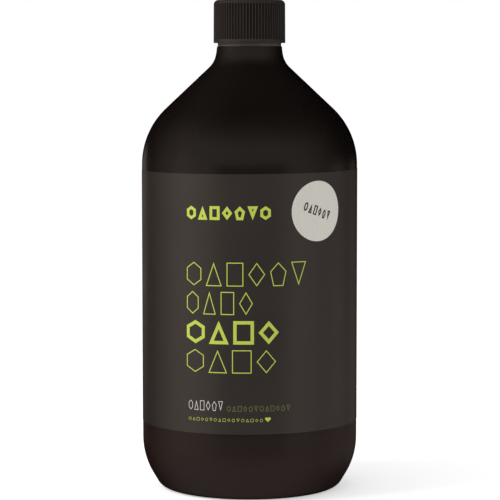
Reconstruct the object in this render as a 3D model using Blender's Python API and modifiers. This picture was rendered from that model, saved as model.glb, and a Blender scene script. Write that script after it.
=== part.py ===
"""A round refill bottle of liquid hand soap: blown bottle, ribbed screw cap with its foam liner,
wrapped label, round sticker and the soap inside.

Metres, +Z up. The origin is the centre of the ring that the bottle stands on, and the printed front
faces -Y. Every round piece is turned about the Z axis. The cap's screw thread is right-handed, so the
cap turns anticlockwise, seen from above, as it rises.
"""

from math import acos, asin, atan2, ceil, cos, hypot, pi, radians, sin, sqrt, tau

import bmesh
import bpy
from mathutils import Matrix, Vector

MM = 0.001

# Bottle body
BODY_RADIUS = 44.5 * MM
BODY_WALL = 0.7 * MM
SHOULDER_START = 134.0 * MM  # top of the straight side, above the ground
SHOULDER_RADIUS = 31.8 * MM
SHOULDER_ANGLE = radians(46.7)  # the cone's lean from upright
TAPER_RADIUS = 29.3 * MM  # the long curve that draws the side in towards the base
HEEL_ANGLE = radians(59)
HEEL_FLAT = 3.7 * MM
HEEL_RADIUS = 5.4 * MM
RING_WIDTH = 3.0 * MM  # the flat ring that the bottle stands on
PUSH_UP = 5.0 * MM  # rise of the hollow in the base

# Bottle neck
NECK_BORE_RADIUS = 10.9 * MM
NECK_WALL = 1.55 * MM
NECK_FILLET_RADIUS = 9.7 * MM
NECK_FILLET_END = radians(10.3)
NECK_BLEND_RADIUS = 31.6 * MM
NECK_BLEND_END = radians(4.3)
COLLAR_STEP = 0.65 * MM  # how far the plain collar under the thread stands out from the neck
COLLAR_HEIGHT = 2.9 * MM
COLLAR_MARGIN = 1.63 * MM  # plain neck between the cap's lowest thread and the collar
SHOULDER_STEP = 0.25 * MM  # how far the shoulder's top edge stands out from the collar
LIP_CHAMFER = 0.4 * MM

# Screw thread, shared by neck and cap
THREAD_PITCH = 4.233 * MM
THREAD_HEIGHT = 1.1 * MM
THREAD_BEAD = 0.8 * MM  # radius of the round ridge
THREAD_CLEARANCE = 0.3 * MM
THREAD_START = 2.6 * MM  # middle of the neck's ridge at its top end, below the mouth
THREAD_TURNS = 1.5
THREAD_RUN_OUT = radians(30)  # the ridge fades away over this turn at each end
THREAD_END = 0.25  # share of its full size that the ridge still has at its very end

# Cap
CAP_WALL = 0.94 * MM
CAP_TOP_WALL = 1.3 * MM
CAP_STANDOFF = 1.4 * MM  # the collar that shows between cap and shoulder
CAP_EDGE_RADIUS = 1.3 * MM
CAP_BAND = 1.5 * MM  # plain band under the ribs
RIB_COUNT = 72
RIB_DEPTH = 0.34 * MM
RIB_END = 0.3 * MM  # height over which a groove runs out at each end

# Liner under the cap's top, label, sticker and soap
LINER_THICKNESS = 0.8 * MM
LINER_MARGIN = 0.5 * MM  # between the liner's edge and the cap's inside
LABEL_THICKNESS = 0.1 * MM
LABEL_TOP_MARGIN = 1.8 * MM  # bare side above the label
LABEL_BOTTOM_MARGIN = 7.3 * MM  # bare side below the label
LABEL_LAP = 6.0 * MM  # how far the label's end laps over its start
LAP_GAP = 0.1 * MM
LABEL_SEAM = radians(110)  # the lap's place, turned from +X: at the back
STICKER_RADIUS = 12.1 * MM
STICKER_THICKNESS = 0.1 * MM
STICKER_DROP = 15.2 * MM  # from the label's top edge down to the sticker's middle
STICKER_TURN = radians(37.6)  # from the front's middle round to the sticker's middle
HEADSPACE = 41.0 * MM  # from the mouth down to the soap, which leaves about 900 ml of it
GAP = 0.3 * MM  # between pieces that lie against each other
SAME_PLACE = 0.001 * MM  # points this near to each other are made one

# Fineness of the round shapes
ROUNDNESS = 0.05 * MM  # the most that a straight step cuts off a round stretch of an outline
BODY_STEPS = 48
CAP_STEPS = 2 * RIB_COUNT
THREAD_STEPS = 28  # for each turn
WRAP_STEPS = 96
STICKER_STRIPS = 16

# Sizes that follow from those above
NECK_RADIUS = NECK_BORE_RADIUS + NECK_WALL
COLLAR_RADIUS = NECK_RADIUS + COLLAR_STEP
SHOULDER_TOP_RADIUS = COLLAR_RADIUS + SHOULDER_STEP
CAP_INNER_RADIUS = NECK_RADIUS + THREAD_HEIGHT + THREAD_CLEARANCE
CAP_RADIUS = CAP_INNER_RADIUS + CAP_WALL
THREAD_ROOM = THREAD_START + THREAD_TURNS * THREAD_PITCH + THREAD_PITCH / 2 + THREAD_BEAD
FINISH_HEIGHT = THREAD_ROOM + COLLAR_MARGIN + COLLAR_HEIGHT
CAP_HEIGHT = FINISH_HEIGHT - CAP_STANDOFF + GAP + LINER_THICKNESS + GAP + CAP_TOP_WALL
HEEL_REACH = HEEL_RADIUS * sin(HEEL_ANGLE) + HEEL_FLAT * cos(HEEL_ANGLE)
RING_RADIUS = BODY_RADIUS - HEEL_REACH - TAPER_RADIUS * (1 - sin(HEEL_ANGLE))
SIDE_START = (
    HEEL_RADIUS * (1 - cos(HEEL_ANGLE)) + HEEL_FLAT * sin(HEEL_ANGLE) + TAPER_RADIUS * cos(HEEL_ANGLE)
)
NECK_REACH = NECK_FILLET_RADIUS * (cos(NECK_FILLET_END) - cos(SHOULDER_ANGLE)) + NECK_BLEND_RADIUS * (
    cos(NECK_BLEND_END) - cos(NECK_FILLET_END)
)
CONE_REACH = BODY_RADIUS - SHOULDER_RADIUS * (1 - cos(SHOULDER_ANGLE)) - SHOULDER_TOP_RADIUS - NECK_REACH
CONE_LENGTH = CONE_REACH / sin(SHOULDER_ANGLE)


def arc_steps(bend_radius, angle):
    """How many straight steps a round stretch takes."""
    return ceil(abs(angle) / (2 * acos(1 - ROUNDNESS / bend_radius)))


def srgb(red, green, blue):
    """A colour given as 0 to 255 on a screen, as Blender's linear values."""
    linear = []
    for value in (red, green, blue):
        share = value / 255
        linear.append(share / 12.92 if share <= 0.04045 else ((share + 0.055) / 1.055) ** 2.4)
    return (*linear, 1)


def material(name, color, roughness, transmission=0):
    made = bpy.data.materials.new(name)
    made.use_nodes = True
    shader = made.node_tree.nodes["Principled BSDF"]
    shader.inputs["Base Color"].default_value = color
    shader.inputs["Roughness"].default_value = roughness
    shader.inputs["Metallic"].default_value = 0
    shader.inputs["Transmission Weight"].default_value = transmission
    return made


def add_object(name, data, collection, look=None):
    made = bpy.data.objects.new(name, data)
    collection.objects.link(made)
    if look:
        data.materials.append(look)
    return made


def evaluated_mesh(source):
    """The object's mesh with its modifiers applied, or a curve's surface."""
    bpy.context.view_layer.update()
    depsgraph = bpy.context.evaluated_depsgraph_get()
    return bpy.data.meshes.new_from_object(source.evaluated_get(depsgraph), depsgraph=depsgraph)


def drop_object(spent):
    data = spent.data
    bpy.data.objects.remove(spent)
    bpy.data.batch_remove([data])


def shade_round(mesh):
    mesh.shade_smooth()
    mesh.set_sharp_from_angle(angle=radians(35))


class Outline:
    """Straight and round stretches, one after another, in the plane of radius and height.

    The heading is measured anticlockwise from the direction of growing radius.
    """

    def __init__(self, radius, height, heading=0.0):
        self.points = [(radius, height)]
        self.heading = heading

    def line(self, length):
        radius, height = self.points[-1]
        self.points.append((radius + length * cos(self.heading), height + length * sin(self.heading)))

    def bend(self, bend_radius, angle):
        """A round stretch that turns left by the angle, or right if it is negative."""
        steps = arc_steps(bend_radius, angle)
        side = 1 if angle > 0 else -1
        radius, height = self.points[-1]
        middle_r = radius - side * bend_radius * sin(self.heading)
        middle_z = height + side * bend_radius * cos(self.heading)
        for step in range(1, steps + 1):
            turned = self.heading + angle * step / steps
            self.points.append(
                (middle_r + side * bend_radius * sin(turned), middle_z - side * bend_radius * cos(turned))
            )
        self.heading += angle


def body_side(inset):
    """The side of the bottle from its standing ring up to the top of its shoulder, moved inwards by inset."""
    side = Outline(RING_RADIUS, inset)
    side.bend(HEEL_RADIUS - inset, HEEL_ANGLE)
    side.line(HEEL_FLAT)
    side.bend(TAPER_RADIUS - inset, pi / 2 - HEEL_ANGLE)
    side.line(SHOULDER_START - SIDE_START)
    side.bend(SHOULDER_RADIUS - inset, SHOULDER_ANGLE)
    side.line(CONE_LENGTH)
    side.bend(NECK_FILLET_RADIUS + inset, NECK_FILLET_END - SHOULDER_ANGLE)
    side.bend(NECK_BLEND_RADIUS + inset, NECK_BLEND_END - NECK_FILLET_END)
    return side.points


def base_hollow(inset):
    """The domed hollow in the base, from its centre out to the standing ring, moved inwards by inset."""
    edge = RING_RADIUS - RING_WIDTH
    dome = (edge**2 + PUSH_UP**2) / (2 * PUSH_UP)
    middle = PUSH_UP - dome
    dome += inset
    spread = asin(sqrt(dome**2 - (inset - middle) ** 2) / dome)
    steps = arc_steps(dome, spread)
    turns = [spread * step / steps for step in range(steps + 1)]
    return [(dome * sin(turn), middle + dome * cos(turn)) for turn in turns]


SHOULDER_TOP = body_side(0)[-1][1]
MOUTH = SHOULDER_TOP + FINISH_HEIGHT
CAP_BOTTOM = SHOULDER_TOP + CAP_STANDOFF
CAP_TOP = CAP_BOTTOM + CAP_HEIGHT
SOAP_LEVEL = MOUTH - HEADSPACE
LABEL_BOTTOM = SIDE_START + LABEL_BOTTOM_MARGIN
LABEL_TOP = SHOULDER_START - LABEL_TOP_MARGIN
LABEL_RADIUS = BODY_RADIUS + GAP


def turned(name, profile, steps, collection, look=None):
    """A solid turned about Z. Its profile starts and ends at the axis, and its outer side runs down."""
    mesh = bpy.data.meshes.new(name)
    vertices = [(radius, 0, height) for radius, height in profile]
    edges = [(index, index + 1) for index in range(len(profile) - 1)]
    mesh.from_pydata(vertices, edges, [])
    made = add_object(name, mesh, collection, look)
    screw = made.modifiers.new("turn", "SCREW")
    screw.axis = "Z"
    screw.steps = steps
    screw.render_steps = steps
    screw.use_merge_vertices = True
    screw.merge_threshold = SAME_PLACE
    screw.use_smooth_shade = True
    return made


def thread_ridge(name, wall, side, top, collection):
    """A right-handed round ridge on a round wall, wound down from its top end, that fades away at both ends.

    The side is 1 for a ridge that stands out from the wall and -1 for one that stands inwards.
    """
    count = round(THREAD_TURNS * THREAD_STEPS)
    curve = bpy.data.curves.new(name, "CURVE")
    curve.dimensions = "3D"
    curve.bevel_depth = THREAD_BEAD
    curve.bevel_resolution = 2
    curve.use_fill_caps = True
    spline = curve.splines.new("POLY")
    spline.points.add(count)
    for index, point in enumerate(spline.points):
        wound = tau * THREAD_TURNS * index / count
        from_end = min(wound, tau * THREAD_TURNS - wound)
        size = THREAD_END + (1 - THREAD_END) * min(1, from_end / THREAD_RUN_OUT)
        radius = wall + side * size * (THREAD_HEIGHT - THREAD_BEAD)
        height = top - THREAD_PITCH * wound / tau
        point.co = (radius * cos(wound), -radius * sin(wound), height, 1)
        point.radius = size
    wire = add_object(name, curve, collection)
    ridge = add_object(name + "_mesh", evaluated_mesh(wire), collection)
    drop_object(wire)
    ridge.name = name
    welded = bmesh.new()
    welded.from_mesh(ridge.data)
    bmesh.ops.remove_doubles(welded, verts=welded.verts, dist=SAME_PLACE)
    bmesh.ops.recalc_face_normals(welded, faces=welded.faces)
    welded.to_mesh(ridge.data)
    welded.free()
    ridge.hide_render = True
    ridge.display_type = "WIRE"
    return ridge


def join_with(made, other):
    union = made.modifiers.new("join", "BOOLEAN")
    union.operation = "UNION"
    union.object = other


def make_bottle(parts, cutters):
    collar_top = SHOULDER_TOP + COLLAR_HEIGHT
    bore = [
        (NECK_BORE_RADIUS, collar_top),
        (NECK_BORE_RADIUS, MOUTH - LIP_CHAMFER),
        (NECK_BORE_RADIUS + LIP_CHAMFER, MOUTH),
    ]
    neck = [
        (NECK_RADIUS - LIP_CHAMFER, MOUTH),
        (NECK_RADIUS, MOUTH - LIP_CHAMFER),
        (NECK_RADIUS, collar_top),
        (COLLAR_RADIUS, collar_top - COLLAR_STEP),
        (COLLAR_RADIUS, SHOULDER_TOP + SHOULDER_STEP),
    ]
    inside = base_hollow(BODY_WALL) + body_side(BODY_WALL) + bore
    outside = neck + body_side(0)[::-1] + base_hollow(0)[::-1]
    look = material("bottle_plastic", srgb(24, 19, 17), 0.25)
    bottle = turned("bottle", inside + outside, BODY_STEPS, parts, look)
    join_with(bottle, thread_ridge("neck_thread", NECK_RADIUS, 1, MOUTH - THREAD_START, cutters))
    return bottle


def press_grooves(mesh, low, high):
    """Moves every second line of points on the cap's side inwards, between two heights."""
    for vertex in mesh.vertices:
        x, y, z = vertex.co
        radius = hypot(x, y)
        line = round(atan2(y, x) * CAP_STEPS / tau)
        on_side = radius > CAP_RADIUS - RIB_DEPTH / 2 and low < z < high
        if on_side and line % 2:
            inwards = 1 - RIB_DEPTH / radius
            vertex.co = (x * inwards, y * inwards, z)


def make_cap(parts, cutters):
    edge = Outline(CAP_RADIUS - CAP_EDGE_RADIUS, CAP_TOP)
    edge.bend(CAP_EDGE_RADIUS, -pi / 2)
    groove_low = CAP_BOTTOM + CAP_BAND
    groove_high = CAP_TOP - CAP_EDGE_RADIUS
    ceiling = CAP_TOP - CAP_TOP_WALL
    skirt = [
        (CAP_RADIUS, groove_high - RIB_END),
        (CAP_RADIUS, groove_low + RIB_END),
        (CAP_RADIUS, groove_low),
        (CAP_RADIUS, CAP_BOTTOM),
    ]
    inside = [(CAP_INNER_RADIUS, CAP_BOTTOM), (CAP_INNER_RADIUS, ceiling), (0, ceiling)]
    outline = [(0, CAP_TOP)] + edge.points + skirt + inside
    look = material("cap_plastic", srgb(44, 39, 36), 0.45)
    blank = turned("cap_blank", outline, CAP_STEPS, parts)
    mesh = evaluated_mesh(blank)
    drop_object(blank)
    press_grooves(mesh, groove_low + RIB_END / 2, groove_high - RIB_END / 2)
    shade_round(mesh)
    cap = add_object("cap", mesh, parts, look)
    top = MOUTH - THREAD_START - THREAD_PITCH / 2
    join_with(cap, thread_ridge("cap_thread", CAP_INNER_RADIUS, -1, top, cutters))
    return cap


def make_liner(parts):
    low = MOUTH + GAP
    radius = CAP_INNER_RADIUS - LINER_MARGIN
    outline = [(0, low + LINER_THICKNESS), (radius, low + LINER_THICKNESS), (radius, low), (0, low)]
    look = material("liner_foam", srgb(228, 226, 220), 0.8)
    return turned("cap_liner", outline, BODY_STEPS, parts, look)


def make_soap(parts):
    """The soap fills the bottle up to its level, a gap away from the wall."""
    inset = BODY_WALL + GAP
    wetted = [point for point in body_side(inset) if point[1] < SOAP_LEVEL]
    dry = body_side(inset)[len(wetted)]
    share = (SOAP_LEVEL - wetted[-1][1]) / (dry[1] - wetted[-1][1])
    shore = wetted[-1][0] + share * (dry[0] - wetted[-1][0])
    outline = [(0, SOAP_LEVEL), (shore, SOAP_LEVEL)] + wetted[::-1] + base_hollow(inset)[::-1]
    look = material("soap_liquid", srgb(214, 222, 170), 0.05, transmission=0.8)
    return turned("hand_wash", outline, BODY_STEPS, parts, look)


def make_label(parts):
    """A film wrapped once round the body, with its end lapped over its start."""
    overlap = LABEL_LAP / LABEL_RADIUS
    sweep = tau + overlap
    count = round(WRAP_STEPS * sweep / tau)
    curve = bpy.data.curves.new("label", "CURVE")
    curve.dimensions = "2D"
    curve.fill_mode = "NONE"
    curve.extrude = (LABEL_TOP - LABEL_BOTTOM) / 2
    spline = curve.splines.new("POLY")
    spline.points.add(count)
    for index, point in enumerate(spline.points):
        turn = sweep * index / count
        lifting = (turn - tau + 2 * overlap) / overlap
        radius = LABEL_RADIUS + (LABEL_THICKNESS + LAP_GAP) * min(1, max(0, lifting))
        at = LABEL_SEAM + turn
        point.co = (radius * cos(at), radius * sin(at), 0, 1)
    ribbon = add_object("label_ribbon", curve, parts)
    mesh = evaluated_mesh(ribbon)
    drop_object(ribbon)
    mesh.transform(Matrix.Translation((0, 0, (LABEL_TOP + LABEL_BOTTOM) / 2)))
    face_outwards(mesh)
    shade_round(mesh)
    label = add_object("label", mesh, parts, material("label_film", srgb(51, 45, 42), 0.6))
    thicken(label, LABEL_THICKNESS)
    return label


def face_outwards(mesh):
    """Turns the faces of an open wrapped sheet so that they look away from the Z axis."""
    sheet = bmesh.new()
    sheet.from_mesh(mesh)
    bmesh.ops.remove_doubles(sheet, verts=sheet.verts, dist=SAME_PLACE)
    bmesh.ops.recalc_face_normals(sheet, faces=sheet.faces)
    sheet.faces.ensure_lookup_table()
    first = sheet.faces[0]
    away = first.calc_center_median() * Vector((1, 1, 0))
    if first.normal.dot(away) < 0:
        bmesh.ops.reverse_faces(sheet, faces=sheet.faces)
    sheet.to_mesh(mesh)
    sheet.free()


def thicken(sheet, thickness):
    solid = sheet.modifiers.new("thickness", "SOLIDIFY")
    solid.thickness = thickness
    solid.offset = 1
    solid.use_even_offset = True


def make_sticker(parts):
    """A round sticker, cut into upright strips as it lies flat, and then bent round the label."""
    radius = LABEL_RADIUS + LABEL_THICKNESS + GAP
    height = LABEL_TOP - STICKER_DROP
    disc = bmesh.new()
    bmesh.ops.create_circle(disc, cap_ends=True, segments=2 * STICKER_STRIPS, radius=STICKER_RADIUS)
    for strip in range(1, STICKER_STRIPS):
        cut = STICKER_RADIUS * cos(pi * strip / STICKER_STRIPS)
        geometry = disc.verts[:] + disc.edges[:] + disc.faces[:]
        bmesh.ops.bisect_plane(disc, geom=geometry, dist=SAME_PLACE, plane_co=(cut, 0, 0), plane_no=(1, 0, 0))
    for vertex in disc.verts:
        turn = STICKER_TURN + vertex.co.x / radius
        vertex.co = (radius * sin(turn), -radius * cos(turn), height + vertex.co.y)
    mesh = bpy.data.meshes.new("round_sticker")
    disc.to_mesh(mesh)
    disc.free()
    face_outwards(mesh)
    shade_round(mesh)
    sticker = add_object("round_sticker", mesh, parts, material("sticker_paper", srgb(193, 189, 180), 0.6))
    thicken(sticker, STICKER_THICKNESS)
    return sticker


def main():
    for old in list(bpy.data.objects):
        bpy.data.objects.remove(old)
    parts = bpy.data.collections.new("refill_bottle")
    cutters = bpy.data.collections.new("thread_ridges")
    for collection in (parts, cutters):
        bpy.context.scene.collection.children.link(collection)
    make_bottle(parts, cutters)
    make_cap(parts, cutters)
    make_liner(parts)
    make_label(parts)
    make_sticker(parts)
    make_soap(parts)


main()
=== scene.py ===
"""The looks of the refill bottle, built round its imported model.

Metres, +Z up, with the printed front towards -Y. A turn is measured from the middle of the front towards
+X. What lies on the label is drawn flat first, with x measured along the label from the middle of the
front and y as the height, and is then bent round the body.
"""

from math import acos, asin, ceil, cos, pi, radians, sin, sqrt, tan, tau

import bmesh
import bpy
from mathutils import Matrix, Vector


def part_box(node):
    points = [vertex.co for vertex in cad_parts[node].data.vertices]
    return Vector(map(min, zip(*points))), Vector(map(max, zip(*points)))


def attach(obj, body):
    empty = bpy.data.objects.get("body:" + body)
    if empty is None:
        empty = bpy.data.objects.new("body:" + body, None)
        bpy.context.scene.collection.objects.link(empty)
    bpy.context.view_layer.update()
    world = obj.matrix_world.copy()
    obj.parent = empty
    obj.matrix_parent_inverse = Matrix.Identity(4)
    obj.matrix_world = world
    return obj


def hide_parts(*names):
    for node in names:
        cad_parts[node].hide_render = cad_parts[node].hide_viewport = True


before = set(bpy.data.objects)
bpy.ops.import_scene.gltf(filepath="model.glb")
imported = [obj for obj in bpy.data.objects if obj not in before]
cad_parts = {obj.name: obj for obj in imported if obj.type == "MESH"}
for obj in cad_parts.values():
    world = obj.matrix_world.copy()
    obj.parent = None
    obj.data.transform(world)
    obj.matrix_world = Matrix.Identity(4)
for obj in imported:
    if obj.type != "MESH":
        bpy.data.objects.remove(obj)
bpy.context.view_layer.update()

MM = 0.001

# Heights and radii read from the frame
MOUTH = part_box("bottle")[1].z
BODY_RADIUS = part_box("bottle")[1].x
CAP_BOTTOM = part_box("cap")[0].z
CAP_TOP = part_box("cap")[1].z
CAP_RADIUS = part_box("cap")[1].x
LINER_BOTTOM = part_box("cap_liner")[0].z
LINER_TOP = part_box("cap_liner")[1].z
LINER_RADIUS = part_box("cap_liner")[1].x
SOAP_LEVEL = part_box("hand_wash")[1].z
LABEL_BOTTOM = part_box("label")[0].z
LABEL_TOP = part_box("label")[1].z
STICKER_HEIGHT = (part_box("round_sticker")[0].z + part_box("round_sticker")[1].z) / 2

# Bottle body
BODY_WALL = 0.7 * MM
SHOULDER_START = 134.0 * MM
SHOULDER_RADIUS = 31.8 * MM
SHOULDER_ANGLE = radians(46.7)
TAPER_RADIUS = 29.3 * MM
HEEL_ANGLE = radians(59)
HEEL_FLAT = 3.7 * MM
HEEL_RADIUS = 5.4 * MM
RING_WIDTH = 3.0 * MM
PUSH_UP = 5.0 * MM
GATE_RADIUS = 1.6 * MM  # the small round nub in the middle of the base
GATE_TOP_RADIUS = 0.8 * MM
GATE_HEIGHT = 0.5 * MM
PARTING_HEIGHT = 0.05 * MM  # the mould's parting line up both sides of the body
PARTING_WIDTH = 0.2 * MM

# Bottle neck
NECK_BORE_RADIUS = 10.9 * MM
NECK_WALL = 1.55 * MM
NECK_FILLET_RADIUS = 9.7 * MM
NECK_FILLET_END = radians(10.3)
NECK_BLEND_RADIUS = 31.6 * MM
NECK_BLEND_END = radians(4.3)
COLLAR_STEP = 0.65 * MM
COLLAR_HEIGHT = 2.9 * MM
COLLAR_ROUND = 0.3 * MM
COLLAR_FOOT_ROUND = 0.12 * MM
SHOULDER_STEP = 0.25 * MM
LIP_ROUND = 0.45 * MM

# Screw thread, shared by neck and cap
THREAD_PITCH = 4.233 * MM
THREAD_HEIGHT = 1.1 * MM
THREAD_CREST = 0.3 * MM  # half the width of the ridge's top
THREAD_FOOT = 0.95 * MM  # half its width at the wall
THREAD_CLEARANCE = 0.3 * MM
THREAD_START = 2.6 * MM
THREAD_TURNS = 1.5
THREAD_RUN_OUT = radians(30)

# Cap
CAP_TOP_WALL = 1.3 * MM
CAP_EDGE_RADIUS = 2.0 * MM
CAP_DRAFT = 0.08 * MM  # how much narrower the side is at its top
CAP_BAND = 1.5 * MM
CAP_RIM_ROUND = 0.15 * MM
CAP_GATE_RADIUS = 1.1 * MM  # the shallow round dimple in the middle of the top
CAP_GATE_FLOOR_RADIUS = 0.88 * MM
CAP_GATE_DEPTH = 0.15 * MM
RIB_COUNT = 72
RIB_DEPTH = 0.45 * MM
RIB_TOP = 1.3 * MM  # from the cap's top down to the grooves' upper end, which lies on the rounded edge
RIB_END = 0.35 * MM

# Liner and soap
LINER_ROUND = 0.3 * (LINER_TOP - LINER_BOTTOM)
SOAP_CLEARANCE = 0.02 * MM
SOAP_RISE = 0.8 * MM  # how far the soap is drawn up at the wall
SOAP_RISE_POWER = 12  # how closely the rise keeps to the wall

# Label and sticker
LABEL_CLEARANCE = 0.02 * MM  # between the bottle's side and the label film
LABEL_THICKNESS = 0.08 * MM
LABEL_LAP = 6.0 * MM
LABEL_SEAM = radians(200)  # the turn at which the film starts and is lapped, at the back
LABEL_CLIMB = 0.21 * MM  # how much the film climbs for each radian of turn, from being laid on askew
LABEL_FACE = BODY_RADIUS + LABEL_CLEARANCE + LABEL_THICKNESS
STICKER_RADIUS = 12.1 * MM
STICKER_TURN = radians(37.6)
STICKER_MIDDLE = (STICKER_TURN * LABEL_FACE, STICKER_HEIGHT - LABEL_CLIMB * STICKER_TURN)  # laid flat
STICKER_THICKNESS = 0.08 * MM
STICKER_FACE = LABEL_FACE + STICKER_THICKNESS

# Print. Each row has its left, right, low and high edge on the flat label, the number of its shapes, the
# gap between them and the width of their strokes.
INK_THICKNESS = 0.02 * MM
LIME_ROWS = (
    (-26.5 * MM, 8.5 * MM, 114.0 * MM, 119.5 * MM, 7, 0.9 * MM, 1.15 * MM),
    (-26.6 * MM, 23.6 * MM, 87.6 * MM, 97.1 * MM, 6, 2.0 * MM, 0.36 * MM),
    (-26.6 * MM, 1.3 * MM, 76.2 * MM, 85.4 * MM, 4, 2.0 * MM, 0.36 * MM),
    (-26.7 * MM, 11.8 * MM, 64.4 * MM, 73.8 * MM, 4, 1.8 * MM, 1.35 * MM),
    (-26.7 * MM, 10.6 * MM, 52.8 * MM, 62.1 * MM, 4, 2.0 * MM, 0.36 * MM),
    (-25.8 * MM, 5.3 * MM, 33.3 * MM, 34.6 * MM, 17, 0.6 * MM, 0.13 * MM),
)
DIM_ROW = (-9.1 * MM, 16.5 * MM, 37.5 * MM, 39.7 * MM, 12, 0.7 * MM, 0.14 * MM)
WHITE_ROW = (-25.8 * MM, -10.8 * MM, 37.55 * MM, 41.5 * MM, 6, 0.7 * MM, 0.23 * MM)
HEART_PLACE = (7.3 * MM, 34.1 * MM)
HEART_SIZE = (2.3 * MM, 2.0 * MM)
MARK_COUNT = 6  # the dark marks on the sticker
MARK_SIZE = (1.7 * MM, 3.9 * MM)
MARK_STEP = 2.4 * MM  # from the middle of one to the next
MARK_STROKE = 0.52 * MM
MARK_TILT = radians(-20)

# Fineness
ROUNDNESS = 0.004 * MM  # the most that a straight step cuts off a round stretch of an outline
THREAD_ROW = 0.16 * MM  # spacing of the rows of points that carry the ridge
BODY_COLUMNS = 192
CAP_POINTS = 10  # points round each rib
CAP_INNER_COLUMNS = RIB_COUNT * CAP_POINTS // 4
RIB_END_ROWS = 4  # rows over which a groove runs out at its foot
SOAP_RINGS = 12
LABEL_COLUMNS = 288
STICKER_CORNERS = 96
HEART_CORNERS = 40
BEND_STRIP = 0.8 * MM  # what is bent round the body is first cut into upright strips no wider than this
CUT_TOLERANCE = 1e-7  # how near to a cut a corner counts as lying on it
SHARP_ANGLE = radians(38)

# Sizes that follow from those above
NECK_RADIUS = NECK_BORE_RADIUS + NECK_WALL
COLLAR_RADIUS = NECK_RADIUS + COLLAR_STEP
SHOULDER_TOP_RADIUS = COLLAR_RADIUS + SHOULDER_STEP
CAP_INNER_RADIUS = NECK_RADIUS + THREAD_HEIGHT + THREAD_CLEARANCE
GROOVE_LOW = CAP_BOTTOM + CAP_BAND
GROOVE_HIGH = CAP_TOP - RIB_TOP
HEEL_REACH = HEEL_RADIUS * sin(HEEL_ANGLE) + HEEL_FLAT * cos(HEEL_ANGLE)
RING_RADIUS = BODY_RADIUS - HEEL_REACH - TAPER_RADIUS * (1 - sin(HEEL_ANGLE))
SIDE_START = (
    HEEL_RADIUS * (1 - cos(HEEL_ANGLE)) + HEEL_FLAT * sin(HEEL_ANGLE) + TAPER_RADIUS * cos(HEEL_ANGLE)
)
NECK_REACH = NECK_FILLET_RADIUS * (cos(NECK_FILLET_END) - cos(SHOULDER_ANGLE)) + NECK_BLEND_RADIUS * (
    cos(NECK_BLEND_END) - cos(NECK_FILLET_END)
)
CONE_REACH = BODY_RADIUS - SHOULDER_RADIUS * (1 - cos(SHOULDER_ANGLE)) - SHOULDER_TOP_RADIUS - NECK_REACH
CONE_LENGTH = CONE_REACH / sin(SHOULDER_ANGLE)

# Noise, whose values are mostly between these two, is spread from there to what a surface needs
NOISE_LOW = 0.3
NOISE_HIGH = 0.7

# Tones: the darkest and the palest colour on a screen, then the size and the detail of the blots
BODY_TONES = ((16, 12, 10), (19, 15, 13), 30 * MM, 2)
# The foot's paler, redder tone is a painted reflection of the pale floor
FOOT_REFLECTION_TONES = ((28, 17, 16), (31, 20, 18), 30 * MM, 2)
# The collar's paler tone is a painted highlight on the same plastic as the rest of the bottle
COLLAR_HIGHLIGHT_TONES = ((74, 67, 63), (79, 72, 68), 4 * MM, 2)
CAP_TONES = ((43, 38, 35), (48, 42, 39), 4 * MM, 2)
# Painted shade down in the cap's grooves
GROOVE_SHADE_TONES = ((8, 6, 5), (10, 8, 7), 4 * MM, 2)
LINER_TONES = ((222, 219, 210), (234, 232, 226), 0.6 * MM, 4)
SOAP_TONES = ((212, 220, 166), (216, 224, 174), 20 * MM, 2)
LABEL_TONES = ((34, 29, 27), (37, 32, 30), 1.2 * MM, 5)
STICKER_TONES = ((209, 206, 197), (214, 211, 202), 1 * MM, 4)
LIME_TONES = ((178, 197, 74), (184, 203, 79), 0.8 * MM, 4)
DIM_TONES = ((116, 125, 62), (122, 131, 66), 0.8 * MM, 4)
WHITE_TONES = ((200, 197, 193), (206, 203, 199), 0.8 * MM, 4)
DARK_TONES = ((26, 24, 22), (30, 28, 26), 0.8 * MM, 4)

# Gloss: a roughness that is the same all over, or its least, its most and the size and detail of the blots
BODY_SPECULAR = 0.25
BODY_ROUGHNESS = (0.22, 0.30, 12 * MM, 4)
FOOT_ROUGHER = 0.14  # what is added to that in the foot
CAP_SPECULAR = 0.22
CAP_ROUGHNESS = (0.34, 0.42, 2 * MM, 4)
LINER_ROUGHNESS = 0.85
SOAP_ROUGHNESS = 0.03
SOAP_CLEARNESS = 0.85
SOAP_IOR = 1.36
LABEL_SPECULAR = 0.56
LABEL_ROUGHNESS = (0.35, 0.41, 20 * MM, 3)
STICKER_SPECULAR = 0.4
STICKER_ROUGHNESS = 0.6
INK_SPECULAR = 0.4
INK_ROUGHNESS = 0.5

# Relief, the coarser layer first: its height, then the size and the detail of the noise that shapes it
BODY_RELIEF = ((0.12 * MM, 30 * MM, 1), (0.003 * MM, 0.7 * MM, 3))
CAP_RELIEF = ((0.012 * MM, 0.3 * MM, 4),)
LINER_RELIEF = ((0.08 * MM, 0.3 * MM, 4),)
LABEL_RELIEF = ((0.06 * MM, 50 * MM, 1), (0.004 * MM, 0.2 * MM, 3))
STICKER_RELIEF = ((0.006 * MM, 0.3 * MM, 4),)
INK_RELIEF = ((0.003 * MM, 0.2 * MM, 3),)

# Where one tone gives way to another
FOOT_BLEND = 4 * MM  # above and below the label's foot, over which the foot's painted reflection and its added roughness fade in
COLLAR_BLEND = 0.2 * MM  # above the collar's foot, over which the painted highlight on the collar fades in
GROOVE_SHADE = (0.02 * MM, 0.24 * MM)  # the depths in a groove at which its painted shade starts and is full
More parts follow.
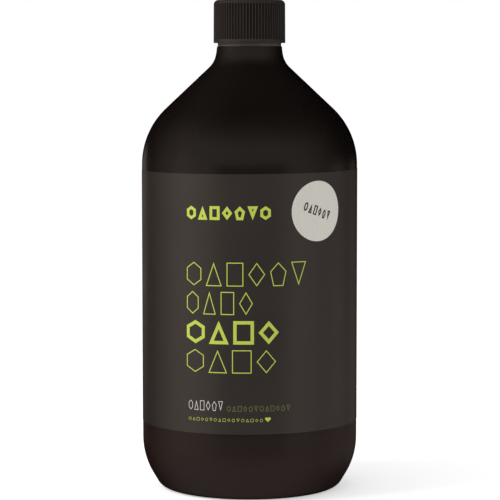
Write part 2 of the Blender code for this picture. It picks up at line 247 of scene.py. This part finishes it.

# Studio
WHITE = (1, 1, 1, 1)
FLOOR_RADIUS = 6.0
FLOOR_CORNERS = 96
FLOOR_COLOUR = (0.8, 0.8, 0.8, 1)
FLOOR_GLOW = 0.46
SOFT_LIGHT = 0.72
BOX_SIZE = 0.3
LEFT_BOX_PLACE = Vector((-0.40, -0.14, 0.40))
LEFT_BOX_WATTS = 1.9
RIGHT_BOX_PLACE = Vector((0.48, -0.17, 0.06))
RIGHT_BOX_WATTS = 0.4
LAMP_COLOUR = (1.0, 0.96, 0.92)
TENT_RADIUS = 2.0
TENT_COLUMNS = 64
TENT_ROWS = 32
TENT_MIDDLE = Vector((0, 0, 0.1))
TENT_TINT = (1.0, 0.84, 0.74)
TENT_TOP = (1.05, 0.38)  # sines of the angle above level at which it would be shut and is open

# Openings of the tent: the turn and lift of the middle, the angles from there at which it is shut and fully
# open, and the share of light that it lets through
OPENINGS = (
    (radians(-8), radians(-7), radians(130), radians(50), 0.75),
    (radians(-70), radians(-1), radians(26), radians(12), 0.95),
    (radians(103), radians(-15), radians(26), radians(4), 0.5),
    (radians(141), radians(-12), radians(16), radians(6), 0.22),
    (radians(-151), radians(-3), radians(10), radians(4), 0.36),
)

# The dark card in the front opening, round the camera
CARD_TURN = radians(2)
CARD_SIDES = (radians(41), radians(34))  # how far to each side it ends and is full
CARD_HEIGHT = -0.11  # the sine of its angle above level
CARD_ENDS = (0.25, 0.05)  # the sines further up or down at which it ends and is full

# Camera
CAMERA_PLACE = Vector((0, -0.9668, 0.1809))
CAMERA_DOWN = radians(4.88)
CAMERA_ROLL = radians(0.035)
CAMERA_TURN = radians(-0.0134)
CAMERA_SENSOR = 36  # in millimetres, as the lens is
CAMERA_LENS = 168.2


class Outline:
    """Straight and round stretches, one after another, in the plane of radius and height.

    The heading is measured anticlockwise from the direction of growing radius.
    """

    def __init__(self, radius, height, heading=0.0):
        self.points = [(radius, height)]
        self.heading = heading

    def line(self, length):
        radius, height = self.points[-1]
        self.points.append((radius + length * cos(self.heading), height + length * sin(self.heading)))

    def bend(self, bend_radius, angle):
        """A round stretch that turns left by the angle, or right if it is negative."""
        steps = ceil(abs(angle) / (2 * acos(1 - ROUNDNESS / bend_radius)))
        side = 1 if angle > 0 else -1
        radius, height = self.points[-1]
        middle_r = radius - side * bend_radius * sin(self.heading)
        middle_z = height + side * bend_radius * cos(self.heading)
        for step in range(1, steps + 1):
            turned = self.heading + angle * step / steps
            self.points.append(
                (middle_r + side * bend_radius * sin(turned), middle_z - side * bend_radius * cos(turned))
            )
        self.heading += angle


def smooth_share(value):
    """0 up to 0 and 1 from 1 on, with a soft rise between."""
    share = min(1, max(0, value))
    return share * share * (3 - 2 * share)


def rows_between(radius, low, high, spacing):
    """Points up a plain wall, from low to high."""
    count = ceil((high - low) / spacing)
    return [(radius, low + (high - low) * row / count) for row in range(count + 1)]


def body_side(inset):
    """The bottle's side from its standing ring up to the top of its shoulder, moved inwards by inset."""
    side = Outline(RING_RADIUS, inset)
    side.bend(HEEL_RADIUS - inset, HEEL_ANGLE)
    side.line(HEEL_FLAT)
    side.bend(TAPER_RADIUS - inset, pi / 2 - HEEL_ANGLE)
    side.line(SHOULDER_START - SIDE_START)
    side.bend(SHOULDER_RADIUS - inset, SHOULDER_ANGLE)
    side.line(CONE_LENGTH)
    side.bend(NECK_FILLET_RADIUS + inset, NECK_FILLET_END - SHOULDER_ANGLE)
    side.bend(NECK_BLEND_RADIUS + inset, NECK_BLEND_END - NECK_FILLET_END)
    return side.points


def base_hollow(inset):
    """The domed hollow in the base, from its centre out to the standing ring, moved inwards by inset."""
    edge = RING_RADIUS - RING_WIDTH
    dome = (edge**2 + PUSH_UP**2) / (2 * PUSH_UP)
    middle = PUSH_UP - dome
    dome += inset
    spread = asin(sqrt(dome**2 - (inset - middle) ** 2) / dome)
    steps = ceil(spread / (2 * acos(1 - ROUNDNESS / dome)))
    turns = [spread * step / steps for step in range(steps + 1)]
    return [(dome * sin(turn), middle + dome * cos(turn)) for turn in turns]


SHOULDER_TOP = body_side(0)[-1][1]
COLLAR_TOP = SHOULDER_TOP + COLLAR_HEIGHT


def ridge(angle, height, top):
    """How far the screw thread stands out at a place, as a share of its height.

    It is right-handed and winds down from top, the height of its upper end.
    """
    share = 0
    wound = -angle % tau
    while wound <= tau * THREAD_TURNS:
        off = abs(height - top + THREAD_PITCH * wound / tau)
        across = smooth_share((THREAD_FOOT - off) / (THREAD_FOOT - THREAD_CREST))
        from_end = min(wound, tau * THREAD_TURNS - wound)
        share = max(share, across * smooth_share(from_end / THREAD_RUN_OUT))
        wound += tau
    return share


def neck_thread(angle, height):
    """How far the neck's thread stands out from its wall."""
    return THREAD_HEIGHT * ridge(angle, height, MOUTH - THREAD_START)


def cap_thread(angle, height):
    """How far the cap's thread stands in from its wall, as nought or less.

    It winds half a pitch below the neck's thread.
    """
    return -THREAD_HEIGHT * ridge(angle, height, MOUTH - THREAD_START - THREAD_PITCH / 2)


def parting_line(angle, height):
    """The fine ridge that the two halves of the mould leave up the body, at +X and -X."""
    off = abs(sin(angle)) * BODY_RADIUS
    return PARTING_HEIGHT * max(0, 1 - off / PARTING_WIDTH)


def rib(angle, height):
    """How deep the grooves between the cap's ribs are at a place on its side. It is nought or less."""
    from_end = min(height - GROOVE_LOW, GROOVE_HIGH - height)
    groove = (1 - cos(angle * RIB_COUNT)) / 2
    return -RIB_DEPTH * groove * smooth_share(from_end / RIB_END)


def plain(angle, height):
    """No relief."""
    return 0


def with_relief(outline, relief):
    """The outline's points, each with the function that gives how far its ring stands out at a turn."""
    return [(radius, height, relief) for radius, height in outline]


def smoothed(mesh):
    """Shades a mesh smooth, apart from its sharp edges."""
    mesh.shade_smooth()
    mesh.set_sharp_from_angle(angle=SHARP_ANGLE)
    return mesh


class Turned:
    """A mesh of rings about Z, joined one to the next. An outer side runs down, so that it faces out."""

    def __init__(self):
        self.vertices = []
        self.faces = []

    def ring(self, radius, height, angles, relief=plain):
        """Adds a ring of points, or one point if the radius is nought, and gives the points' numbers."""
        first = len(self.vertices)
        if radius == 0:
            self.vertices.append((0, 0, height))
            return [first] * len(angles)
        for angle in angles:
            out = radius + relief(angle, height)
            self.vertices.append((out * cos(angle), out * sin(angle), height))
        return list(range(first, first + len(angles)))

    def join(self, upper, lower):
        """Faces between two rings. The upper one may have several times as many points as the lower."""
        ratio = len(upper) // len(lower)
        for index in range(len(lower)):
            start = index * ratio
            top = [upper[(start + step) % len(upper)] for step in range(ratio + 1)]
            bottom = [lower[(index + 1) % len(lower)], lower[index]]
            self.faces.append(list(dict.fromkeys(top[::-1] + bottom[::-1])))

    def skin(self, outline, angles, above=None):
        """Rings along an outline, given as radius, height and perhaps relief, and gives the last one."""
        for place in outline:
            ring = self.ring(place[0], place[1], angles, *place[2:])
            if above:
                self.join(above, ring)
            above = ring
        return above

    def made(self, name):
        mesh = bpy.data.meshes.new(name)
        mesh.from_pydata(self.vertices, [], self.faces)
        return smoothed(mesh)


def even_angles(count):
    return [tau * index / count for index in range(count)]


def body_angles():
    """Even steps round the body, and finer ones where the parting lines are."""
    angles = even_angles(BODY_COLUMNS)
    for seam in (0, pi):
        for offset in (-2, -1, 1, 2):
            angles.append((seam + offset * PARTING_WIDTH / 2 / BODY_RADIUS) % tau)
    return sorted(angles)


def make_bottle():
    """The bottle in one skin: up the inside, over the lip, down the outside and in under the base."""
    lip = Outline(NECK_BORE_RADIUS, MOUTH - LIP_ROUND, pi / 2)
    lip.bend(LIP_ROUND, -pi / 2)
    lip.line(NECK_WALL - 2 * LIP_ROUND)
    lip.bend(LIP_ROUND, -pi / 2)
    collar = Outline(NECK_RADIUS, COLLAR_TOP)
    collar.line(COLLAR_STEP - COLLAR_ROUND)
    collar.bend(COLLAR_ROUND, -pi / 2)
    collar.line(COLLAR_HEIGHT - COLLAR_ROUND - COLLAR_FOOT_ROUND)
    collar.bend(COLLAR_FOOT_ROUND, -pi / 2)
    inside = base_hollow(BODY_WALL) + body_side(BODY_WALL) + [(NECK_BORE_RADIUS, COLLAR_TOP)]
    threaded = rows_between(NECK_RADIUS, COLLAR_TOP, MOUTH - LIP_ROUND, THREAD_ROW)
    base = [place for place in base_hollow(0) if place[0] > GATE_RADIUS]
    gate = [(0, PUSH_UP - GATE_HEIGHT), (GATE_TOP_RADIUS, PUSH_UP - GATE_HEIGHT)]
    turned = Turned()
    turned.skin(
        inside
        + lip.points
        + with_relief(threaded[-2::-1], neck_thread)
        + collar.points[1:]
        + with_relief(body_side(0)[::-1], parting_line)
        + base[::-1]
        + gate[::-1],
        body_angles(),
    )
    return turned.made("bottle_shell")


def cap_side(height):
    """The radius of the cap's tapered side at a height."""
    return CAP_RADIUS - CAP_DRAFT * (height - CAP_BOTTOM) / (CAP_TOP - CAP_BOTTOM)


def make_cap():
    """The cap from its top down the ribbed side, round the rim and up the threaded inside."""
    top = [
        (0, CAP_TOP - CAP_GATE_DEPTH),
        (CAP_GATE_FLOOR_RADIUS, CAP_TOP - CAP_GATE_DEPTH),
        (CAP_GATE_RADIUS, CAP_TOP),
    ]
    edge = Outline(CAP_RADIUS - CAP_DRAFT - CAP_EDGE_RADIUS, CAP_TOP)
    edge.bend(CAP_EDGE_RADIUS, -pi / 2)
    rows = range(RIB_END_ROWS, -1, -1)
    heights = [GROOVE_LOW + RIB_END * row / RIB_END_ROWS for row in rows]
    side = [(cap_side(height), height) for height in heights]
    rim = Outline(CAP_RADIUS, CAP_BOTTOM + CAP_RIM_ROUND, -pi / 2)
    rim.bend(CAP_RIM_ROUND, -pi / 2)
    outside = top + with_relief(edge.points + side, rib) + rim.points
    ceiling = CAP_TOP - CAP_TOP_WALL
    inner_rim = [(CAP_INNER_RADIUS + CAP_RIM_ROUND, CAP_BOTTOM)]
    threaded = rows_between(CAP_INNER_RADIUS, CAP_BOTTOM + CAP_RIM_ROUND, ceiling, THREAD_ROW)
    inside = inner_rim + with_relief(threaded, cap_thread) + [(0, ceiling)]
    turned = Turned()
    foot = turned.skin(outside, even_angles(RIB_COUNT * CAP_POINTS))
    turned.skin(inside, even_angles(CAP_INNER_COLUMNS), foot)
    return turned.made("ribbed_cap")


def make_liner():
    """A flat foam disc with rounded edges."""
    edge = Outline(LINER_RADIUS - LINER_ROUND, LINER_TOP)
    edge.bend(LINER_ROUND, -pi / 2)
    edge.line(LINER_TOP - LINER_BOTTOM - 2 * LINER_ROUND)
    edge.bend(LINER_ROUND, -pi / 2)
    turned = Turned()
    turned.skin([(0, LINER_TOP)] + edge.points + [(0, LINER_BOTTOM)], even_angles(BODY_COLUMNS))
    return turned.made("foam_liner")


def make_soap():
    """The soap, with its level drawn up a little where it meets the wall."""
    inset = BODY_WALL + SOAP_CLEARANCE
    wetted = [place for place in body_side(inset) if place[1] < SOAP_LEVEL]
    reach = wetted[-1][0] - (SOAP_LEVEL - wetted[-1][1]) * tan(SHOULDER_ANGLE)
    shares = [ring / SOAP_RINGS for ring in range(SOAP_RINGS + 1)]
    level = [(reach * share, SOAP_LEVEL - SOAP_RISE * (1 - share**SOAP_RISE_POWER)) for share in shares]
    turned = Turned()
    turned.skin(level + wetted[::-1] + base_hollow(inset)[::-1], even_angles(BODY_COLUMNS))
    return turned.made("liquid_soap")


def wrapped(turn, height, radius):
    """The place at a turn from the middle of the front, on a sheet that climbs as the label does."""
    return Vector((radius * sin(turn), -radius * cos(turn), height + LABEL_CLIMB * turn))


def film_mesh(name, sheet, thickness):
    """The closed mesh of a bent sheet, thickened outwards from the Z axis."""
    made = bmesh.ops.extrude_face_region(sheet, geom=sheet.faces[:] + sheet.edges[:], use_keep_orig=True)
    for part in made["geom"]:
        if isinstance(part, bmesh.types.BMVert):
            part.co += thickness * Vector((part.co.x, part.co.y, 0)).normalized()
    bmesh.ops.recalc_face_normals(sheet, faces=sheet.faces)
    mesh = bpy.data.meshes.new(name)
    sheet.to_mesh(mesh)
    sheet.free()
    return smoothed(mesh)


def make_label():
    """A film wrapped once round the body from its seam at the back, with its end lapped over its start.

    The rise that clears the start begins two laps' lengths before it and ends one lap's length before it.
    """
    inner = BODY_RADIUS + LABEL_CLEARANCE
    overlap = LABEL_LAP / inner
    sweep = tau + overlap
    sheet = bmesh.new()
    before = None
    for column in range(LABEL_COLUMNS + 1):
        along = sweep * column / LABEL_COLUMNS
        lifted = smooth_share((along - tau + 2 * overlap) / overlap)
        radius = inner + (LABEL_THICKNESS + LABEL_CLEARANCE) * lifted
        turn = LABEL_SEAM - tau + along
        now = [sheet.verts.new(wrapped(turn, height, radius)) for height in (LABEL_BOTTOM, LABEL_TOP)]
        if before:
            sheet.faces.new((before[0], now[0], now[1], before[1]))
        before = now
    return film_mesh("label_film", sheet, LABEL_THICKNESS)


def bent_film(name, flat, radius, thickness):
    """The film of a flat drawing bent round the body, which is first cut along upright lines for that."""
    xs = [vertex.co.x for vertex in flat.verts]
    count = ceil((max(xs) - min(xs)) / BEND_STRIP)
    for strip in range(1, count):
        line = Vector((min(xs) + (max(xs) - min(xs)) * strip / count, 0, 0))
        parts = flat.verts[:] + flat.edges[:] + flat.faces[:]
        bmesh.ops.bisect_plane(flat, geom=parts, dist=CUT_TOLERANCE, plane_co=line, plane_no=(1, 0, 0))
    for vertex in flat.verts:
        vertex.co = wrapped(vertex.co.x / radius, vertex.co.y, radius)
    return film_mesh(name, flat, thickness)


def make_sticker():
    flat = bmesh.new()
    bmesh.ops.create_circle(flat, cap_ends=True, segments=STICKER_CORNERS, radius=STICKER_RADIUS)
    bmesh.ops.translate(flat, verts=flat.verts, vec=(*STICKER_MIDDLE, 0))
    return bent_film("round_film", flat, LABEL_FACE, STICKER_THICKNESS)


def regular(corners, turned=0.0):
    """A regular outline, stretched to fill a box from -0.5 to 0.5."""
    turns = [turned + turn for turn in even_angles(corners)]
    xs = [sin(turn) for turn in turns]
    ys = [cos(turn) for turn in turns]
    width = max(xs) - min(xs)
    height = max(ys) - min(ys)
    return [((x - min(xs)) / width - 0.5, (y - min(ys)) / height - 0.5) for x, y in zip(xs, ys)]


def heart():
    """The usual heart curve, brought into a box from -0.5 to 0.5."""
    low, high = -17, 12  # between which the curve's heights lie
    places = []
    for turn in even_angles(HEART_CORNERS):
        height = 13 * cos(turn) - 5 * cos(2 * turn) - 2 * cos(3 * turn) - cos(4 * turn)
        places.append((sin(turn) ** 3 / 2, (height - low) / (high - low) - 0.5))
    return places


DIAMOND = regular(4)
SQUARE = regular(4, tau / 8)
HEXAGON = regular(6)
PENTAGON = regular(5)
PEAK = regular(3)
BOWL = [(x, -y) for x, y in PEAK]
MOTIFS = [HEXAGON, PEAK, SQUARE, DIAMOND, PENTAGON, BOWL]


def draw(flat, outline, place, size, stroke=None, tilt=0.0):
    """Adds a filled shape, or only its stroke, to flat drawings. Place is its middle."""
    turn = Matrix.Rotation(tilt, 2)
    corners = []
    for x, y in outline:
        moved = turn @ Vector((x * size[0], y * size[1]))
        corners.append(flat.verts.new((place[0] + moved.x, place[1] + moved.y, 0)))
    face = flat.faces.new(corners)
    face.normal_update()
    if stroke:
        bmesh.ops.inset_individual(flat, faces=[face], thickness=stroke, use_even_offset=True)
        flat.faces.remove(face)


def draw_row(flat, left, right, low, high, count, gap, stroke):
    """A row of shapes, all as wide as one another, that fills the space between left and right."""
    width = (right - left - gap * (count - 1)) / count
    for index in range(count):
        place = (left + width / 2 + index * (width + gap), (low + high) / 2)
        draw(flat, MOTIFS[index % len(MOTIFS)], place, (width, high - low), stroke)


def lime_print():
    """The lime shapes: a bold row at the top, four large rows, and small marks and a heart at the foot."""
    flat = bmesh.new()
    for row in LIME_ROWS:
        draw_row(flat, *row)
    draw(flat, heart(), HEART_PLACE, HEART_SIZE)
    return bent_film("lime_ink", flat, LABEL_FACE, INK_THICKNESS)


def one_row_print(name, row):
    """A piece of ink on the label that is one row of shapes."""
    flat = bmesh.new()
    draw_row(flat, *row)
    return bent_film(name, flat, LABEL_FACE, INK_THICKNESS)


def dark_print():
    """The row of small dark shapes on the sticker, tilted clockwise."""
    flat = bmesh.new()
    for index in range(MARK_COUNT):
        along = (index - (MARK_COUNT - 1) / 2) * MARK_STEP
        x = STICKER_MIDDLE[0] + along * cos(MARK_TILT)
        y = STICKER_MIDDLE[1] + along * sin(MARK_TILT)
        draw(flat, MOTIFS[index], (x, y), MARK_SIZE, MARK_STROKE, MARK_TILT)
    return bent_film("dark_ink", flat, STICKER_FACE, INK_THICKNESS)


def srgb(red, green, blue):
    """A colour given as 0 to 255 on a screen, as Blender's linear values."""
    linear = []
    for value in (red, green, blue):
        share = value / 255
        linear.append(share / 12.92 if share <= 0.04045 else ((share + 0.055) / 1.055) ** 2.4)
    return (*linear, 1)


class Graph:
    """A tree of shader nodes, with short ways to add the few kinds used here."""

    def __init__(self, tree):
        self.nodes = tree.nodes
        self.links = tree.links

    def add(self, kind, *values, **settings):
        """Adds a node. Each value but None goes into the input of its place, as a link or a constant."""
        node = self.nodes.new("ShaderNode" + kind)
        for name, setting in settings.items():
            setattr(node, name, setting)
        for socket, value in zip(node.inputs, values):
            if isinstance(value, bpy.types.NodeSocket):
                self.links.new(value, socket)
            elif value is not None:
                socket.default_value = value
        return node

    def math(self, operation, first, second=None):
        return self.add("Math", first, second, operation=operation).outputs["Value"]

    def vector(self, operation, first, second=None):
        return self.add("VectorMath", first, second, operation=operation).outputs["Vector"]

    def along(self, vector, direction):
        """The part of a vector that lies along a direction."""
        return self.add("VectorMath", vector, direction, operation="DOT_PRODUCT").outputs["Value"]

    def rise(self, value, none, full):
        """A share that grows softly from 0, where the value is none, to 1, where it is full."""
        spread = self.add("MapRange", value, none, full, 0, 1, interpolation_type="SMOOTHSTEP")
        return spread.outputs["Result"]

    def object_place(self):
        return self.add("TexCoord").outputs["Object"]

    def shown_ray(self):
        """1 for a ray that comes from the camera, a reflection or a see-through piece, and otherwise 0."""
        path = self.add("LightPath").outputs
        reflected = self.math("MAXIMUM", path["Is Glossy Ray"], path["Is Transmission Ray"])
        return self.math("MAXIMUM", path["Is Camera Ray"], reflected)


class Finish(Graph):
    """A material round one Principled shader, with noise that moves with the piece."""

    def __init__(self, name, specular=0.5):
        self.material = bpy.data.materials.new(name)
        self.material.use_nodes = True
        super().__init__(self.material.node_tree)
        self.shader = self.nodes["Principled BSDF"]
        self.constant("Specular IOR Level", specular)
        self.place = self.object_place()

    def constant(self, name, value):
        """Sets what is the same all over the surface."""
        self.shader.inputs[name].default_value = value

    def noise(self, size, detail):
        """Noise whose blots are about as large as size."""
        return self.add("TexNoise", self.place, None, 1 / size, detail).outputs["Fac"]

    def tones(self, dark, pale, size, detail):
        """A colour between two, by noise."""
        ramp = self.add("ValToRGB", self.noise(size, detail))
        ends = zip(ramp.color_ramp.elements, (NOISE_LOW, NOISE_HIGH), (dark, pale))
        for end, position, colour in ends:
            end.position = position
            end.color = srgb(*colour)
        return ramp.outputs["Color"]

    def mixed(self, first, second, share):
        """A colour that goes from the first to the second as the share grows."""
        mix = self.add("Mix", data_type="RGBA")
        self.links.new(share, mix.inputs["Factor"])
        colours = [socket for socket in mix.inputs if socket.type == "RGBA"]
        for colour, socket in zip((first, second), colours):
            self.links.new(colour, socket)
        return [socket for socket in mix.outputs if socket.type == "RGBA"][0]

    def colour(self, colour):
        self.links.new(colour, self.shader.inputs["Base Color"])

    def roughness(self, low, high, size, detail, added=0.0):
        """Roughness between two values by noise, with more added where that is wanted."""
        noise = self.noise(size, detail)
        spread = self.add("MapRange", noise, NOISE_LOW, NOISE_HIGH, low, high).outputs["Result"]
        self.links.new(self.math("ADD", spread, added), self.shader.inputs["Roughness"])

    def relief(self, layers):
        """Bump from layers of noise, each one on the one before."""
        normal = None
        for height, size, detail in layers:
            bump = self.add("Bump")
            bump.inputs["Distance"].default_value = height
            self.links.new(self.noise(size, detail), bump.inputs["Height"])
            if normal:
                self.links.new(normal, bump.inputs["Normal"])
            normal = bump.outputs["Normal"]
        self.links.new(normal, self.shader.inputs["Normal"])

    def height(self):
        return self.along(self.place, (0, 0, 1))

    def from_axis(self):
        """The distance from the Z axis."""
        flat = self.vector("MULTIPLY", self.place, (1, 1, 0))
        return self.add("VectorMath", flat, operation="LENGTH").outputs["Value"]


def bottle_finish():
    """Glossy near-black plastic, duller in the foot, with a painted reflection of the floor there in a
    paler, redder tone, and a painted highlight on the collar.
    """
    finish = Finish("bottle_plastic", BODY_SPECULAR)
    up = finish.height()
    in_foot = finish.rise(up, LABEL_BOTTOM + FOOT_BLEND, LABEL_BOTTOM - FOOT_BLEND)
    above_shoulder = finish.rise(up, SHOULDER_TOP, SHOULDER_TOP + COLLAR_BLEND)
    below_thread = finish.rise(up, COLLAR_TOP, COLLAR_TOP - COLLAR_ROUND)
    collar_highlight = finish.math("MULTIPLY", above_shoulder, below_thread)
    # The foot's tone is a painted reflection of the floor; its added roughness is real
    body = finish.mixed(finish.tones(*BODY_TONES), finish.tones(*FOOT_REFLECTION_TONES), in_foot)
    # The paler tone on the collar is a painted highlight
    finish.colour(finish.mixed(body, finish.tones(*COLLAR_HIGHLIGHT_TONES), collar_highlight))
    finish.roughness(*BODY_ROUGHNESS, finish.math("MULTIPLY", in_foot, FOOT_ROUGHER))
    finish.relief(BODY_RELIEF)
    return finish.material


def cap_finish():
    """Satin plastic, with painted shade down in the grooves between the ribs."""
    finish = Finish("cap_plastic", CAP_SPECULAR)
    up = finish.height()
    above_rim = finish.math("SUBTRACT", up, CAP_BOTTOM)
    taper = finish.math("MULTIPLY", above_rim, CAP_DRAFT / (CAP_TOP - CAP_BOTTOM))
    out = finish.math("ADD", finish.from_axis(), taper)
    # Painted shade in the grooves, by depth below the ribs' tops
    sunk = finish.rise(out, *(CAP_RADIUS - depth for depth in GROOVE_SHADE))
    above_band = finish.rise(up, GROOVE_LOW, GROOVE_LOW + RIB_END)
    below_edge = finish.rise(up, GROOVE_HIGH, GROOVE_HIGH - RIB_END)
    painted_groove_shade = finish.math("MULTIPLY", sunk, finish.math("MULTIPLY", above_band, below_edge))
    finish.colour(finish.mixed(finish.tones(*CAP_TONES), finish.tones(*GROOVE_SHADE_TONES), painted_groove_shade))
    finish.roughness(*CAP_ROUGHNESS)
    finish.relief(CAP_RELIEF)
    return finish.material


def liner_finish():
    """Pale foam with fine pores."""
    finish = Finish("liner_foam")
    finish.constant("Roughness", LINER_ROUGHNESS)
    finish.colour(finish.tones(*LINER_TONES))
    finish.relief(LINER_RELIEF)
    return finish.material


def soap_finish():
    """A clear liquid, pale yellow-green."""
    finish = Finish("soap_liquid")
    finish.constant("Roughness", SOAP_ROUGHNESS)
    finish.constant("Transmission Weight", SOAP_CLEARNESS)
    finish.constant("IOR", SOAP_IOR)
    finish.colour(finish.tones(*SOAP_TONES))
    return finish.material


def label_finish():
    """Dark warm grey film, a little uneven where it lies on the bottle."""
    finish = Finish("label_film", LABEL_SPECULAR)
    finish.colour(finish.tones(*LABEL_TONES))
    finish.roughness(*LABEL_ROUGHNESS)
    finish.relief(LABEL_RELIEF)
    return finish.material


def sticker_finish():
    """Matt pale grey film with a fine grain."""
    finish = Finish("sticker_film", STICKER_SPECULAR)
    finish.constant("Roughness", STICKER_ROUGHNESS)
    finish.colour(finish.tones(*STICKER_TONES))
    finish.relief(STICKER_RELIEF)
    return finish.material


def ink_finish(name, tones):
    """Printed ink, slightly uneven in colour."""
    finish = Finish(name, INK_SPECULAR)
    finish.constant("Roughness", INK_ROUGHNESS)
    finish.colour(finish.tones(*tones))
    finish.relief(INK_RELIEF)
    return finish.material


def add_piece(mesh, finish, body, slot, *nodes):
    """Adds a piece that rides on a body and stands for the nodes that are named, if any."""
    piece = bpy.data.objects.new(mesh.name, mesh)
    bpy.context.scene.collection.objects.link(piece)
    mesh.materials.append(finish)
    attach(piece, body)
    if nodes:
        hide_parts(*nodes)


def add_ink(mesh, tones, slot):
    """Adds a piece of print, which stands for no node."""
    add_piece(mesh, ink_finish(mesh.name, tones), "bottle", slot)


def add_object():
    add_piece(make_bottle(), bottle_finish(), "bottle", "bottle", "bottle")
    add_piece(make_cap(), cap_finish(), "cap", "cap", "cap")
    add_piece(make_liner(), liner_finish(), "liner", "liner", "cap_liner")
    add_piece(make_soap(), soap_finish(), "bottle", "soap", "hand_wash")
    add_piece(make_label(), label_finish(), "bottle", "label", "label")
    add_piece(make_sticker(), sticker_finish(), "bottle", "sticker", "round_sticker")
    add_ink(lime_print(), LIME_TONES, "label")
    add_ink(one_row_print("dim_lime_ink", DIM_ROW), DIM_TONES, "label")
    add_ink(one_row_print("white_ink", WHITE_ROW), WHITE_TONES, "label")
    add_ink(dark_print(), DARK_TONES, "sticker")


def add_world():
    """A white room, which is dimmer as a light than as a background."""
    world = bpy.data.worlds.new("studio")
    bpy.context.scene.world = world
    world.use_nodes = True
    graph = Graph(world.node_tree)
    lighting = graph.add("Background", WHITE, SOFT_LIGHT)
    shown = graph.add("Background", WHITE, 1)
    both = graph.add("MixShader", graph.shown_ray(), lighting.outputs[0], shown.outputs[0])
    graph.links.new(both.outputs["Shader"], graph.nodes["World Output"].inputs["Surface"])


def floor_finish():
    """A pale matt floor that looks white, apart from shadows on it."""
    made = bpy.data.materials.new("pale_floor")
    made.use_nodes = True
    graph = Graph(made.node_tree)
    shader = graph.nodes["Principled BSDF"]
    shader.inputs["Base Color"].default_value = FLOOR_COLOUR
    shader.inputs["Roughness"].default_value = 1
    shader.inputs["Specular IOR Level"].default_value = 0
    shader.inputs["Emission Color"].default_value = WHITE
    glow = graph.math("MULTIPLY", graph.shown_ray(), FLOOR_GLOW)
    graph.links.new(glow, shader.inputs["Emission Strength"])
    return made


def towards(turn, lift):
    """The direction at a turn from the middle of the front and at an angle above level."""
    return Vector((sin(turn) * cos(lift), -cos(turn) * cos(lift), sin(lift)))


def tent_finish():
    """A dark gauze with openings that let the white room through, and a card in the widest of them."""
    made = bpy.data.materials.new("tent_gauze")
    made.use_nodes = True
    graph = Graph(made.node_tree)
    place = graph.object_place()
    way = graph.vector("NORMALIZE", place)
    level = graph.vector("NORMALIZE", graph.vector("MULTIPLY", place, (1, 1, 0)))
    height = graph.along(way, (0, 0, 1))
    light = 0
    for turn, lift, shut, full, share in OPENINGS:
        opening = graph.rise(graph.along(way, towards(turn, lift)), cos(shut), cos(full))
        light = graph.math("MAXIMUM", light, graph.math("MULTIPLY", opening, share))
    near_card = graph.rise(graph.along(level, towards(CARD_TURN, 0)), *map(cos, CARD_SIDES))
    off_card = graph.math("ABSOLUTE", graph.math("SUBTRACT", height, CARD_HEIGHT))
    card = graph.math("MULTIPLY", near_card, graph.rise(off_card, *CARD_ENDS))
    for share in (graph.rise(height, *TENT_TOP), graph.math("SUBTRACT", 1, card)):
        light = graph.math("MULTIPLY", light, share)
    gauze = graph.add("BsdfTransparent", graph.vector("MULTIPLY", light, TENT_TINT))
    graph.links.new(gauze.outputs["BSDF"], graph.nodes["Material Output"].inputs["Surface"])
    return made


def add_stage(name, shape, finish, place=(0, 0, 0)):
    """Adds a part of the studio, which is not part of the object."""
    mesh = bpy.data.meshes.new(name)
    shape.to_mesh(mesh)
    shape.free()
    mesh.materials.append(finish)
    made = bpy.data.objects.new(name, mesh)
    made.location = place
    bpy.context.scene.collection.objects.link(made)
    return made


def add_floor():
    """The floor that the camera sees. Reflections show the tent down to its foot instead."""
    disc = bmesh.new()
    bmesh.ops.create_circle(disc, cap_ends=True, segments=FLOOR_CORNERS, radius=FLOOR_RADIUS)
    floor = add_stage("floor", disc, floor_finish())
    floor.visible_glossy = False


def add_tent():
    """A dark tent round the object, open to the front, that only its reflections show."""
    ball = bmesh.new()
    bmesh.ops.create_uvsphere(ball, u_segments=TENT_COLUMNS, v_segments=TENT_ROWS, radius=TENT_RADIUS)
    tent = add_stage("dark_tent", ball, tent_finish(), TENT_MIDDLE)
    tent.visible_camera = False
    tent.visible_diffuse = False
    tent.visible_transmission = False
    tent.visible_shadow = False


def add_lamp(name, place, watts):
    """A square soft box that faces the object. Reflections show the tent instead of it."""
    lamp = bpy.data.lights.new(name, "AREA")
    lamp.size = BOX_SIZE
    lamp.energy = watts
    lamp.color = LAMP_COLOUR
    box = bpy.data.objects.new(name, lamp)
    box.location = place
    box.rotation_euler = (TENT_MIDDLE - place).to_track_quat("-Z", "Y").to_euler()
    box.visible_glossy = False
    bpy.context.scene.collection.objects.link(box)


def add_camera():
    """A camera in front of the object, at the photograph's angle."""
    data = bpy.data.cameras.new("camera")
    data.lens = CAMERA_LENS
    data.sensor_width = CAMERA_SENSOR
    camera = bpy.data.objects.new("camera", data)
    camera.location = CAMERA_PLACE
    camera.rotation_euler = (pi / 2 - CAMERA_DOWN, CAMERA_ROLL, CAMERA_TURN)
    bpy.context.scene.collection.objects.link(camera)
    bpy.context.scene.camera = camera


add_object()
add_world()
add_floor()
add_tent()
add_lamp("left_box", LEFT_BOX_PLACE, LEFT_BOX_WATTS)
add_lamp("right_box", RIGHT_BOX_PLACE, RIGHT_BOX_WATTS)
add_camera()
bpy.context.scene.view_settings.view_transform = "Standard"
